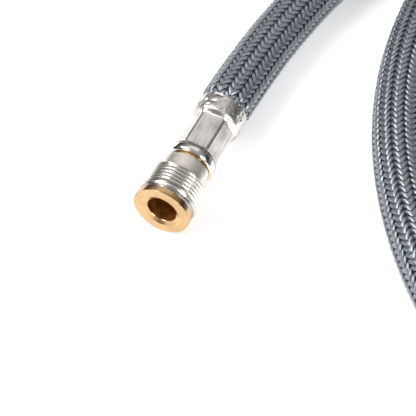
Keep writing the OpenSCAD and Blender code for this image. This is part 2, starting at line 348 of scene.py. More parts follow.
@dataclass(frozen=True)
class Worked(Grained):
    """Metal whose marks follow one axis, which each kind of working lays its own way."""

    centre: tuple[float, float, float] = (0, 0, 0)
    turn: tuple[float, float, float] = (0, 0, 0)
    lines: float = 3600
    grain: float = 5200
    patch: float = 260
    depth_mm: float = 0.006
    darker: float = 0.8

    def own_frame(self, sheet: Sheet, place: bpy.types.NodeSocket) -> bpy.types.NodeSocket:
        """Carries a place into the axis's own frame, with Z along the axis."""
        spot = {"Vector": place, "Location": self.centre, "Rotation": self.turn}
        return sheet.add("Mapping", spot, vector_type="TEXTURE").outputs[0]

    def marks(self, sheet: Sheet, place: bpy.types.NodeSocket) -> bpy.types.NodeSocket:
        """Turns a place in the axis's own frame into where it reads the fine lines."""
        return place

    def draw(self, sheet: Sheet, shader: bpy.types.Node) -> None:
        """Adds the marks, a soft grain and a little tarnish.

        Args:
            sheet: the material's nodes.
            shader: the material's shader.
        """
        shader.inputs["Metallic"].default_value = 1.0
        place = sheet.add("TexCoord").outputs["Object"]
        along = self.marks(sheet, self.own_frame(sheet, place))
        lines = sheet.group(streak_group(), {"Vector": along, "Scale": self.lines}).outputs[0]
        grain = self.add_grain(sheet, place)
        height = sheet.calc("ADD", lines, grain.outputs["Height"])
        self.raise_height(sheet, shader, height, self.depth_mm)
        worn = sheet.calc("MULTIPLY", sheet.calc("ADD", grain.outputs["Patches"], lines), 0.5)
        self.shade(sheet, shader, sheet.ramp(worn, [(0.4, 0.0), (0.56, 1.0)]), self.darker)


@dataclass(frozen=True)
class Turned(Worked):
    """Bare metal with the fine rings that a lathe leaves round its axis."""

    def marks(self, sheet: Sheet, place: bpy.types.NodeSocket) -> bpy.types.NodeSocket:
        """Reads the lines by radius and by place along the axis, so that they are rings.

        Args:
            sheet: the material's nodes.
            place: the place in the axis's own frame.

        Returns:
            The radius, the place along the axis, and 0.
        """
        x, y, z = sheet.add("SeparateXYZ", {0: place}).outputs
        both = sheet.calc("ADD", sheet.calc("MULTIPLY", x, x), sheet.calc("MULTIPLY", y, y))
        radius = sheet.calc("SQRT", both)
        return sheet.add("CombineXYZ", {0: radius, 1: z, 2: 0.0}).outputs[0]


@dataclass(frozen=True)
class Threaded(Turned):
    """Plated metal with painted shade that darkens its colour in the roots of its thread."""

    root_mm: float = 6.9
    crest_mm: float = 7.45
    grain: float = 4200
    patch: float = 500
    depth_mm: float = 0.004
    darker: float = 0.42

    def draw(self, sheet: Sheet, shader: bpy.types.Node) -> None:
        """Adds a soft grain, and painted shade that darkens the colour towards the thread's roots,
        following the radius.

        Args:
            sheet: the material's nodes.
            shader: the material's shader.
        """
        shader.inputs["Metallic"].default_value = 1.0
        place = sheet.add("TexCoord").outputs["Object"]
        rings = self.marks(sheet, self.own_frame(sheet, place))
        radius = sheet.add("SeparateXYZ", {0: rings}).outputs[0]
        span = {"Value": radius, "From Min": self.root_mm * MM, "From Max": self.crest_mm * MM}
        rise = sheet.add("MapRange", span)
        grain = self.add_grain(sheet, place)
        self.raise_height(sheet, shader, grain.outputs["Height"], self.depth_mm)
        # painted shade: the colour falls to its darker tone in the thread's roots
        self.shade(sheet, shader, rise.outputs[0], self.darker)


@dataclass(frozen=True)
class Drawn(Worked):
    """Metal with lengthwise streaks, as the jaws of a press leave it."""

    depth_mm: float = 0.02
    darker: float = 0.62

    def marks(self, sheet: Sheet, place: bpy.types.NodeSocket) -> bpy.types.NodeSocket:
        """Stretches the lines along the axis."""
        return sheet.add("Mapping", {"Vector": place, "Scale": (1.0, 1.0, 0.05)}).outputs[0]


@dataclass(frozen=True)
class Yarn(Finish):
    """Plaited multifilament yarn: fine strands along each float, with painted shade between the
    floats.
    """

    strands: float = 4.0
    depth_mm: float = 0.05
    metallic: float = 0.55
    specular: float = 0.8
    darker: float = 0.10

    def draw(self, sheet: Sheet, shader: bpy.types.Node) -> None:
        """Draws strands along the yarn from its own UV map, and a tone for each float with its
        painted shade.

        Args:
            sheet: the material's nodes.
            shader: the material's shader.
        """
        shader.inputs["Metallic"].default_value = self.metallic
        shader.inputs["Specular IOR Level"].default_value = self.specular
        uv = sheet.add("UVMap", uv_map="yarn").outputs["UV"]
        stretched = sheet.add("Mapping", {"Vector": uv, "Scale": (self.strands, 0.9, 1.0)})
        lines = sheet.group(streak_group(), {"Vector": stretched.outputs[0], "Scale": 1.0})
        self.raise_height(sheet, shader, lines.outputs[0], self.depth_mm)
        # the point attribute holds each float's own tone times its painted shade
        tint = sheet.add("Attribute", attribute_name="tint").outputs["Fac"]
        threads = sheet.ramp(lines.outputs[0], [(0.3, 0.6), (0.6, 1.0)])
        self.shade(sheet, shader, sheet.calc("MULTIPLY", threads, tint), self.darker)


@dataclass(frozen=True)
class Moulded(Grained):
    """Plastic or rubber from a mould: a fine even grain and a slight unevenness of gloss."""

    grain: float = 2500
    patch: float = 90
    depth_mm: float = 0.01
    coat: float = 0.0
    darker: float = 0.93

    def draw(self, sheet: Sheet, shader: bpy.types.Node) -> None:
        """Adds the mould's grain and the gloss.

        Args:
            sheet: the material's nodes.
            shader: the material's shader.
        """
        shader.inputs["Coat Weight"].default_value = self.coat
        shader.inputs["Coat Roughness"].default_value = 0.08
        place = sheet.add("TexCoord").outputs["Object"]
        grain = self.add_grain(sheet, place)
        self.raise_height(sheet, shader, grain.outputs["Height"], self.depth_mm)
        stops = [(0.3, self.roughness * 0.85), (0.7, min(self.roughness * 1.2, 1.0))]
        rough = sheet.ramp(grain.outputs["Patches"], stops)
        sheet.tree.links.new(rough, shader.inputs["Roughness"])
        tone = sheet.ramp(grain.outputs["Patches"], [(0.2, 0.0), (0.8, 1.0)])
        self.shade(sheet, shader, tone, self.darker)


@dataclass(frozen=True)
class GlowingFloor(Finish):
    """A pale sheet lit a little from beneath."""

    glow: float = 0.3

    def draw(self, sheet: Sheet, shader: bpy.types.Node) -> None:
        """Adds the even glow."""
        shader.inputs["Emission Color"].default_value = (1, 1, 1, 1)
        shader.inputs["Emission Strength"].default_value = self.glow


TUMBLED = Plate("tumbled_nickel", (1.0, 0.94, 0.86), 0.34, grain=2400, depth_mm=0.13, darker=0.86)
BRIGHT = Plate(
    "bright_nickel", (0.80, 0.775, 0.745), 0.10, grain=1500, depth_mm=0.0015, spread=0.05
)
STEEL = Plate("drawn_steel", (0.62, 0.62, 0.62), 0.25, grain=3000)
# The bore's colour is painted shade and painted reflections of the brass inside the hole.
BORE_SHADE = Plate("painted_bore_shade", (0.62, 0.30, 0.07), 0.45, grain=1500, depth_mm=0.02, darker=0.6)
RING_BRASS = Plate("ring_brass", (0.90, 0.62, 0.30), 0.28, grain=2600)
NOSE_BRASS = Turned("turned_brass", (0.65, 0.43, 0.225), 0.2, **axis_frame(Side.SUPPLY))
WORN = Turned(
    "worn_nickel", (1.0, 0.94, 0.865), 0.38, **axis_frame(Side.SUPPLY), depth_mm=0.035, darker=0.7
)
BRIGHT_THREAD = Threaded("plated_thread", (1.0, 0.95, 0.88), 0.27, **axis_frame(Side.SUPPLY))
YARN = Yarn("braid_yarn", (0.30, 0.33, 0.37), 0.29)
# The tube under the braid: near-black, partly its own colour and partly painted shade between the
# yarns.
CORE_SHADE = Moulded("braid_shadow", (0.018, 0.02, 0.024), 0.8)
RUBBER = Moulded("seal_rubber", (0.02, 0.02, 0.02), 0.5)
SILICONE = Moulded("nozzle_silicone", (0.16, 0.18, 0.20), 0.45)
SHELL = Moulded("white_shell", (0.38, 0.39, 0.385), 0.3, grain=400, depth_mm=0.004, coat=0.6)
LEVER = Moulded("grey_lever", (0.055, 0.07, 0.09), 0.5, grain=1800, depth_mm=0.03)
INSERT = Moulded("clear_grey", (0.42, 0.44, 0.45), 0.4)
GREEN = Moulded("green_insert", (0.06, 0.28, 0.18), 0.4)


# ---------------------------------------------------------------------------------------------
# Mesh helpers
# ---------------------------------------------------------------------------------------------


def placed(name: str, bm: bmesh.types.BMesh, finish: Finish, sharp: float = 35) -> bpy.types.Object:
    """Turns a finished bmesh into an object of the scene.

    Args:
        name: the piece's name.
        bm: the mesh, in the row frame; it is freed.
        finish: what it is made of.
        sharp: the angle between faces, in degrees, above which an edge stays sharp.

    Returns:
        The new object.
    """
    mesh = bpy.data.meshes.new(name)
    bm.to_mesh(mesh)
    bm.free()
    mesh.shade_smooth()
    mesh.set_sharp_from_angle(angle=math.radians(sharp))
    mesh.materials.append(finish.material())
    piece = bpy.data.objects.new(name, mesh)
    bpy.context.scene.collection.objects.link(piece)
    return piece


def turned(outline: Outline, steps: int = 120, closed: bool = True) -> bmesh.types.BMesh:
    """Spins an outline of (radius, along) points, in millimetres, round its own Z axis.

    Args:
        outline: the half section's points in order.
        steps: how many faces go round.
        closed: whether the last point joins the first.

    Returns:
        The bmesh, with its doubles merged and its faces pointing outwards.
    """
    bm = bmesh.new()
    points = [bm.verts.new((radius, 0, along)) for radius, along in outline]
    ends = points[1:] + points[:1] if closed else points[1:]
    edges = [bm.edges.new(pair) for pair in zip(points, ends)]
    bmesh.ops.spin(
        bm,
        geom=points + edges,
        cent=(0, 0, 0),
        axis=(0, 0, 1),
        angle=math.tau,
        steps=steps,
        use_merge=True,
    )
    bmesh.ops.remove_doubles(bm, verts=bm.verts, dist=1e-4)
    bmesh.ops.recalc_face_normals(bm, faces=bm.faces)
    return bm


def arc(
    centre: tuple[float, float], radius: float, start: float, end: float, count: int
) -> Outline:
    """Points of an arc for an outline.

    Args:
        centre: the arc's centre, as (radius, along).
        radius: its radius.
        start: its first angle, in degrees from the radius direction towards the axis's end.
        end: its last angle.
        count: how many points it has.

    Returns:
        The points in order.
    """
    angles = [math.radians(start + (end - start) * k / (count - 1)) for k in range(count)]
    return [(centre[0] + radius * math.cos(a), centre[1] + radius * math.sin(a)) for a in angles]


def smoothstep(value: float) -> float:
    """An even rise from 0 to 1."""
    value = min(max(value, 0.0), 1.0)
    return value * value * (3 - 2 * value)


# ---------------------------------------------------------------------------------------------
# Hose
# ---------------------------------------------------------------------------------------------


@dataclass(frozen=True)
class YarnFloat:
    """One yarn of the plait where it shows: over two columns, its ends under the next.

    Places run from -1 to 1 across the yarn and from -1 to 1 along it, towards the end that dives.
    """

    thickness: float = 0.62
    reach: float = 1.34
    set_back: float = 0.20
    dive_from: float = 0.35
    dive: float = 2.37
    sink_from: float = 0.5
    round_at_middle: float = 0.66
    round_slope: float = 0.5
    round_range: tuple[float, float] = (0.04, 0.94)
    fullness: float = 0.98
    width: float = 0.94
    narrowing: float = 0.36
    widening: float = 0.20
    # How much painted shade lies on the floats' flanks, growing towards the end that dives.
    gap_at_middle: float = 0.55
    gap_slope: float = 0.45
    gap_power: float = 1.5
    flank: float = 1.25

    def template(self) -> tuple[np.ndarray, np.ndarray, np.ndarray]:
        """The yarn laid flat.

        Returns:
            Its points' places across and along it, and its faces.
        """
        bm = bmesh.new()
        bmesh.ops.create_grid(bm, x_segments=4, y_segments=5, size=1.0)
        bm.verts.ensure_lookup_table()
        points = np.array([v.co[:2] for v in bm.verts])
        faces = np.array([[v.index for v in f.verts] for f in bm.faces])
        bm.free()
        return points[:, 0], points[:, 1], faces

    def profile(
        self, across: np.ndarray, along: np.ndarray
    ) -> tuple[np.ndarray, np.ndarray, np.ndarray]:
        """The yarn's shape at each of its points.

        Args:
            across: each point's place across the yarn.
            along: each point's place along it.

        Returns:
            The height above the hose's radius in millimetres, the share of the full width, and
            the share of light that reaches the point.
        """
        over, under = np.clip(along, 0, 1), np.clip(-along, 0, 1)
        dip = 1 - np.clip(along - self.dive_from, 0, 1) ** 2 * self.dive
        dip = dip - np.clip(under - self.sink_from, 0, 1) ** 2
        round_by = np.clip(self.round_at_middle + self.round_slope * along, *self.round_range)
        crown = np.sqrt(np.clip(1 - self.fullness * across**2, 0, 1))
        crown = 1 - round_by + round_by * crown
        height = self.thickness * (dip * crown - 1)
        taper = self.width - self.narrowing * over**2 + self.widening * under
        # Painted shade: the float darkens where it dives, and on its flanks towards that end.
        gap = np.clip(self.gap_at_middle + self.gap_slope * along, 0, 1) ** self.gap_power
        shadow = np.clip(dip, 0, 1) * (1 - gap * np.clip(self.flank * (1 - crown), 0, 1))
        return height, taper, shadow


@dataclass
class Hose:
    """The braided hose: its route on the floor, its dark core and its plaited yarns.

    The phase turns the plait round the hose, in degrees, and the twist does so along it, in degrees
    per millimetre. The coil's angles are in degrees too.
    """

    diameter: float = 13.0
    length_m: float = 1.5
    ferrule_at: float = 17.5
    crimp_l: float = 11.05
    ferrule_end: float = 34.5
    pinch: float = 2.35
    ease: float = 0.6
    columns: int = 24
    stitch: float = 1.77
    yarn: YarnFloat = YarnFloat()
    phase: float = 90.5
    twist: float = 0.0074
    unevenness: tuple[float, float] = (0.03, 0.02)
    yarn_shades: tuple[float, float] = (0.85, 1.0)
    sections: int = 6
    parts: int = 24
    core_sides: int = 20
    core_step: float = 3.0
    braid_step: float = 0.5
    uv_spread: float = 40
    tail: Sequence[tuple[float, float, float]] = (
        (-76, 196, 7), (-62, 217, 6.5), (-45.5, 235.5, 6.5),
    )
    coil_centre: tuple[float, float] = (80, 160)
    coil_from: float = 132
    coil_turn: float = 420
    coil_step: float = 15
    coil_r: float = 141
    coil_drop: float = 17.2
    lead: Sequence[tuple[float, float, float]] = (
        (141, 266, 7.5), (162, 251, 11.5), (180, 233, 18), (197, 212, 21), (214, 186, 20.5),
        (225, 155, 18), (227, 121, 13.5), (220, 86, 10.5), (203, 53, 10.5), (177, 27, 13),
        (155, 10, 17.5), (133, 2, 21.5), (115, 0, 23),
    )

    def coil_point(self, turned_by: float) -> tuple[float, float, float]:
        """A point of the coil.

        Args:
            turned_by: how far the coil has turned by then, in degrees.

        Returns:
            The point, in millimetres.
        """
        radius = self.coil_r - self.coil_drop * turned_by / 360
        angle = math.radians(self.coil_from - turned_by)
        x, y = self.coil_centre
        return (x + radius * math.cos(angle), y + radius * math.sin(angle), self.diameter / 2)

    def points(self) -> tuple[np.ndarray, np.ndarray]:
        """The route from the supply end to the sprayer.

        Returns:
            The points in millimetres, and how much each takes off the hose's radius.
        """
        stations = [
            (self.ferrule_at + 1, self.pinch),
            (self.ferrule_at + self.crimp_l - 0.5, self.pinch),
            (self.ferrule_at + self.crimp_l + 2, self.ease),
            (self.ferrule_end, self.ease),
            (self.ferrule_end + 2, 0.0),
        ]
        ends = {side: end_matrix(side) for side in Side}
        first = [tuple(ends[Side.SUPPLY] @ Vector((0, 0, s)) / MM) for s, _ in stations]
        final = [tuple(ends[Side.SPRAYER] @ Vector((0, 0, s)) / MM) for s, _ in reversed(stations)]
        steps = int(self.coil_turn / self.coil_step) + 1
        turns = [self.coil_point(k * self.coil_step) for k in range(steps)]
        middle = [*self.tail, *turns, *self.lead]
        taken = [q for _, q in stations]
        return (
            np.array([*first, *middle, *final], float),
            np.array([*taken, *[0.0] * len(middle), *reversed(taken)], float),
        )

    def line(self, step: float) -> tuple[np.ndarray, np.ndarray]:
        """A smooth line through the route's points, at an even step.

        Args:
            step: the distance between its points, in millimetres.

        Returns:
            The line's points and the radius taken off at each.
        """
        route, taken = self.points()
        padded = np.vstack([2 * route[0] - route[1], route, 2 * route[-1] - route[-2]])
        fine, less = [], []
        for i in range(1, len(padded) - 2):
            a, b, c, d = padded[i - 1 : i + 3]
            ab, bc, cd = (np.linalg.norm(q - p) ** 0.5 for p, q in ((a, b), (b, c), (c, d)))
            leave = ((b - a) / ab - (c - a) / (ab + bc) + (c - b) / bc) * bc
            arrive = ((c - b) / bc - (d - b) / (bc + cd) + (d - c) / cd) * bc
            for u in np.linspace(0, 1, self.parts, endpoint=False):
                fine.append(
                    (2 * u**3 - 3 * u**2 + 1) * b
                    + (u**3 - 2 * u**2 + u) * leave
                    + (3 * u**2 - 2 * u**3) * c
                    + (u**3 - u**2) * arrive
                )
                less.append(taken[i - 1] + (taken[i] - taken[i - 1]) * u)
        fine.append(route[-1])
        less.append(taken[-1])
        fine = np.array(fine)
        run = np.concatenate([[0], np.cumsum(np.linalg.norm(np.diff(fine, axis=0), axis=1))])
        even = np.linspace(0, run[-1], int(run[-1] / step) + 1)
        line = np.stack([np.interp(even, run, fine[:, k]) for k in range(3)], axis=1)
        return line, np.interp(even, run, less)

    def sides(self, line: np.ndarray) -> tuple[np.ndarray, np.ndarray]:
        """The directions across a line.

        Args:
            line: the line's points.

        Returns:
            The sideways and the upward direction at each point.
        """
        ahead = np.gradient(line, axis=0)
        ahead /= np.linalg.norm(ahead, axis=1)[:, None]
        side = np.cross([0, 0, 1], ahead)
        side /= np.linalg.norm(side, axis=1)[:, None]
        return side, np.cross(ahead, side)

    def build_core(self) -> bpy.types.Object:
        """The dark tube under the yarns, as a ring of points carried along the line; its near-black
        is partly its own colour and partly painted shade between the yarns.

        Returns:
            The tube, joined to the hose's body.
        """
        line, taken = self.line(self.core_step)
        side, up = self.sides(line)
        around = self.core_sides
        turn = np.arange(around) * math.tau / around
        radius = (self.diameter / 2 - self.yarn.thickness - taken)[:, None, None]
        rings = line[:, None] + radius * (
            np.cos(turn)[None, :, None] * side[:, None] + np.sin(turn)[None, :, None] * up[:, None]
        )
        bm = bmesh.new()
        before = None
        for ring in rings * MM:
            points = [bm.verts.new(p) for p in ring]
            edges = [bm.edges.new((points[k], points[(k + 1) % around])) for k in range(around)]
            if before is None:
                bmesh.ops.contextual_create(bm, geom=edges)
            else:
                bmesh.ops.bridge_loops(bm, edges=before + edges)
            before = edges
        bmesh.ops.contextual_create(bm, geom=before)
        bmesh.ops.recalc_face_normals(bm, faces=bm.faces)
        core = placed("hose_core", bm, CORE_SHADE, 80)
        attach(core, "hose")
        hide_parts("hose_liner", "hose_braid")
        return core

    def yarn_points(
        self, column: np.ndarray, row: np.ndarray, rng: np.random.Generator
    ) -> np.ndarray:
        """Lays the floats of some rows of the plait along the hose.

        Args:
            column: each float's column round the hose.
            row: each float's row along it.
            rng: the source of the plait's unevenness.

        Returns:
            The floats' points in metres, a row of points for each float.
        """
        line, taken = self.line(self.braid_step)
        side, up = self.sides(line)
        radius = self.diameter / 2
        slant = math.atan2(math.tau * radius, self.columns * self.stitch)
        across, along, _ = self.yarn.template()
        height, taper, _ = self.yarn.profile(across, along)
        half_w = 0.5 * self.stitch * math.sin(slant)
        half_l = 0.5 * (math.tau * radius / self.columns) / math.sin(slant) * self.yarn.reach
        lean = np.where(column % 2 == 0, -1.0, 1.0)[:, None]
        middle = (row + 0.5) * self.stitch
        middle = middle + rng.normal(0, self.unevenness[0], len(row))
        lift = rng.normal(0, self.unevenness[1], len(row))[:, None]
        angle = np.radians(self.phase + self.twist * middle)
        angle = angle + (column + 0.5) * math.tau / self.columns
        aside = across * half_w * taper
        ahead = (along - self.yarn.set_back * np.clip(along, 0, 1)) * half_l
        run = middle[:, None] + ahead * math.cos(slant) - lean * aside * math.sin(slant)
        round_by = lean * ahead * math.sin(slant) + aside * math.cos(slant)
        turn = angle[:, None] + round_by / radius
        at = np.clip(run / self.braid_step, 0, len(line) - 1.001)
        k = at.astype(int)
        mix = (at - k)[..., None]
        centre = line[k] * (1 - mix) + line[k + 1] * mix
        out = np.cos(turn)[..., None] * side[k] + np.sin(turn)[..., None] * up[k]
        away = radius - taken[k] + height[None, :] + lift
        return (centre + away[..., None] * out) * MM

    def build_section(
        self, name: str, column: np.ndarray, row: np.ndarray, rng: np.random.Generator
    ) -> bpy.types.Object:
        """One piece of the braid: its floats as a mesh, with a UV map and, for each, a tone times
        its painted shade.

        Args:
            name: the piece's name.
            column: each float's column round the hose.
            row: each float's row along it.
            rng: the source of the plait's unevenness.

        Returns:
            The piece.
        """
        across, along, faces = self.yarn.template()
        _, _, shadow = self.yarn.profile(across, along)
        points = self.yarn_points(column, row, rng)
        count, size = len(row), len(across)
        polygons = (faces[None] + (np.arange(count) * size)[:, None, None]).reshape(-1, 4)
        flip = np.repeat(column % 2 == 1, len(faces))
        polygons[flip] = polygons[flip][:, ::-1]
        mesh = bpy.data.meshes.new(name)
        mesh.from_pydata(points.reshape(-1, 3), [], polygons.tolist())
        uv = mesh.uv_layers.new(name="yarn")
        flat = np.stack([np.tile(across, count), np.tile(along, count)], axis=1)
        for axis in (0, 1):
            flat[:, axis] += np.repeat(rng.uniform(0, self.uv_spread, count), size)
        uv.data.foreach_set("uv", flat[polygons.ravel()].ravel())
        # each point gets its float's painted shade times the float's own random tone
        tint = mesh.attributes.new("tint", "FLOAT", "POINT")
        shade = shadow[None] * rng.uniform(*self.yarn_shades, count)[:, None]
        tint.data.foreach_set("value", shade.ravel())
        mesh.shade_smooth()
        mesh.materials.append(YARN.material())
        piece = bpy.data.objects.new(mesh.name, mesh)
        bpy.context.scene.collection.objects.link(piece)
        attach(piece, "hose")
        return piece

    def build_braid(self) -> list[bpy.types.Object]:
        """The plaited yarns: columns of floats that slant one way and the other in turn.

        Returns:
            The braid's pieces, from the supply end on.
        """
        line, _ = self.line(self.braid_step)
        rows = int(self.braid_step * (len(line) - 1) / self.stitch)
        rng = np.random.default_rng(7)
        pieces = []
        for section in range(self.sections):
            first, last = (k * rows // self.sections for k in (section, section + 1))
            column, row = np.meshgrid(np.arange(self.columns), np.arange(first, last))
            name = f"hose_braid_{section}"
            pieces.append(self.build_section(name, column.ravel(), row.ravel(), rng))
        return pieces

    def declare(self) -> None:
        """Works out the hose's line, and does nothing more with it.
        """
        line, _ = self.line(self.core_step)

    def build(self) -> tuple[bpy.types.Object, list[bpy.types.Object]]:
        """Builds the hose.

        Returns:
            The core, and the pieces of the braid.
        """
        return self.build_core(), self.build_braid()


# ---------------------------------------------------------------------------------------------
# Supply end
# ---------------------------------------------------------------------------------------------


@dataclass
class SupplyEnd:
    """The threaded fitting: a bare brass nose, a plated thread and neck, and its brass ring."""

    thread_d: float = 15.0
    pitch: float = 1.0
    depth: float = 0.62
    nose_r: float = 7.15
    band_l: float = 1.6
    groove_r: float = 6.55
    thread_from: float = 2.45
    thread_to: float = 9.3
    crest_at: float = 3.84
    bore_r: float = 3.75
    bore_l: float = 6.0
    stem_bore_r: float = 2.2
    mouth_r: float = 4.75
    mouth_l: float = 0.62
    inside_r: float = 4.7
    neck_r: float = 6.2
    neck_from: float = 9.45
    length: float = 13.8
    flats: float = 11.0
    flats_turn: float = 95.0
    ring_r: float = 5.65

    def build_nose(self) -> bpy.types.Object:
        """The bare brass nose: its face, its band and its bore.

        Returns:
            The piece.
        """
        bm = turned(
            [
                (self.bore_r, self.bore_l), (self.bore_r, self.mouth_l),
                (self.bore_r + 0.06, self.mouth_l - 0.1), (self.mouth_r, 0.0),
                (self.nose_r - 0.3, 0.0), *arc((self.nose_r - 0.2, 0.2), 0.2, -80, 0, 4),
                (self.nose_r, self.band_l - 0.1), (self.nose_r - 0.1, self.band_l),
                (self.groove_r - 0.4, self.band_l), (self.groove_r - 0.4, self.bore_l),
            ]
        )
        return self.place("connector_nose", bm, NOSE_BRASS, "brass", sharp=18)

    def build_bore_shade(self) -> bpy.types.Object:
        """A wall of painted shade and painted brass reflections, a hair inside the nose's own bore
        wall.

        Returns:
            The piece.
        """
        thin = self.bore_r - 0.02
        step, end = self.bore_l + 0.1, self.bore_l + 0.2
        bm = turned(
            [
                (thin, self.mouth_l), (thin, self.bore_l), (self.stem_bore_r, step),
                (self.stem_bore_r, end), (thin + 0.5, end), (thin + 0.5, self.mouth_l),
            ]
        )
        return self.place("connector_bore", bm, BORE_SHADE, "brass")

    def build_thread(self) -> bpy.types.Object:
        """The helical thread on its plated sleeve, fading out at both ends.

        Returns:
            The piece.
        """
        crest, root = self.thread_d / 2, self.thread_d / 2 - self.depth
        turns = int((self.thread_to - self.thread_from) / self.pitch) + 2
        steps = 96
        bm = bmesh.new()
        # radius, and place along the axis as a share of the pitch
        profile = [(root, -0.5), (root + 0.06, -0.4), (crest - 0.05, -0.12), (crest, -0.06)]
        profile += [(crest, 0.06), (crest - 0.05, 0.12), (root + 0.06, 0.4), (root, 0.5)]
        first = self.crest_at - 2.25 * self.pitch
        points = [bm.verts.new((r, 0, first + z * self.pitch)) for r, z in profile]
        edges = [bm.edges.new(pair) for pair in zip(points, points[1:])]
        bmesh.ops.spin(
            bm,
            geom=points + edges,
            cent=(0, 0, 0),
            axis=(0, 0, 1),
            dvec=(0, 0, self.pitch / steps),
            angle=math.tau * turns,
            steps=steps * turns,
            use_duplicate=False,
        )
        bmesh.ops.remove_doubles(bm, verts=bm.verts, dist=1e-3)
        for along, side in ((self.thread_from, -1), (self.thread_to, 1)):
            bmesh.ops.bisect_plane(
                bm,
                geom=bm.verts[:] + bm.edges[:] + bm.faces[:],
                plane_co=(0, 0, along),
                plane_no=(0, 0, side),
                clear_outer=True,
            )
        for vert in bm.verts:
            radius = math.hypot(vert.co.x, vert.co.y)
            start = 0.5 * smoothstep((vert.co.z - self.thread_from) / 0.25)
            start += 0.5 * smoothstep((vert.co.z - self.crest_at + 0.55) / 0.4)
            finish = smoothstep((self.thread_to - vert.co.z) / 0.35)
            wanted = root + (radius - root) * min(start, finish)
            vert.co.x *= wanted / radius
            vert.co.y *= wanted / radius
        bmesh.ops.recalc_face_normals(bm, faces=bm.faces)
        sleeve = turned(
            [
                (self.inside_r, self.band_l + 0.05), (self.groove_r, self.band_l + 0.05),
                (self.groove_r, self.thread_from - 0.35), (root, self.thread_from + 0.02),
                (root - 0.3, self.thread_from + 0.1), (root - 0.3, self.thread_to - 0.1),
                (root + 0.02, self.thread_to - 0.02), (root - 0.02, self.thread_to + 0.05),
                *arc((self.neck_r + 0.5, self.neck_from + 0.3), 0.5, 235, 180, 5),
                (self.neck_r - 0.3, self.neck_from + 0.35), (self.inside_r, self.neck_from + 0.35),
            ]
        )
        extra = bpy.data.meshes.new("sleeve")
        sleeve.to_mesh(extra)
        sleeve.free()
        bm.from_mesh(extra)
        bpy.data.meshes.remove(extra)
        return self.place("connector_thread", bm, BRIGHT_THREAD, "satin_nickel")

    def build_neck(self) -> bpy.types.Object:
        """The tumbled neck with its two wrench flats.

        Returns:
            The piece.
        """
        bm = turned(
            [
                (self.inside_r, self.neck_from), (self.neck_r, self.neck_from),
                (self.neck_r, self.length - 0.25), (self.neck_r - 0.25, self.length),
                (self.inside_r, self.length),
            ]
        )
        for turn in (0, 180):
            angle = math.radians(self.flats_turn + turn)
            out = Vector((math.cos(angle), math.sin(angle), 0))
            cut = bmesh.ops.bisect_plane(
                bm,
                geom=bm.verts[:] + bm.edges[:] + bm.faces[:],
                plane_co=out * self.flats / 2,
                plane_no=out,
                clear_outer=True,
            )
            rim = [e for e in cut["geom_cut"] if isinstance(e, bmesh.types.BMEdge)]
            bmesh.ops.contextual_create(bm, geom=rim)
        bmesh.ops.recalc_face_normals(bm, faces=bm.faces)
        return self.place("connector_neck", bm, WORN, "satin_nickel")

    def build_ring(self) -> bpy.types.Object:
        """The brass ring that keeps the fitting on its stem.

        Returns:
            The piece.
        """
        bm = turned(
            [
                (4.0, self.length), (self.ring_r - 0.1, self.length),
                (self.ring_r, self.length + 0.1), (self.ring_r, self.length + 0.6),
                (self.ring_r - 0.1, self.length + 0.7), (4.0, self.length + 0.7),
            ]
        )
        return self.place("retaining_ring", bm, RING_BRASS, "brass")

    def place(
        self, name: str, bm: bmesh.types.BMesh, finish: Finish, slot: str, sharp: float = 35
    ) -> bpy.types.Object:
        """Puts a piece on the fitting's axis and joins it to the fitting's body.

        Args:
            name: the piece's name.
            bm: the mesh, in the fitting's own millimetres.
            finish: what it is made of.
            slot: not used.
            sharp: the angle between faces above which an edge stays sharp.

        Returns:
            The piece.
        """
        bmesh.ops.transform(bm, matrix=end_matrix(Side.SUPPLY), verts=bm.verts)
        piece = placed(name, bm, finish, sharp)
        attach(piece, "supply_end")
        return piece

    def build(self) -> list[bpy.types.Object]:
        """Builds the fitting.

        Returns:
            Its pieces.
        """
        nose, bore, thread = self.build_nose(), self.build_bore_shade(), self.build_thread()
        neck, ring = self.build_neck(), self.build_ring()
        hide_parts("supply_connector")
        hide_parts("connector_retainer")
        return [nose, bore, thread, neck, ring]


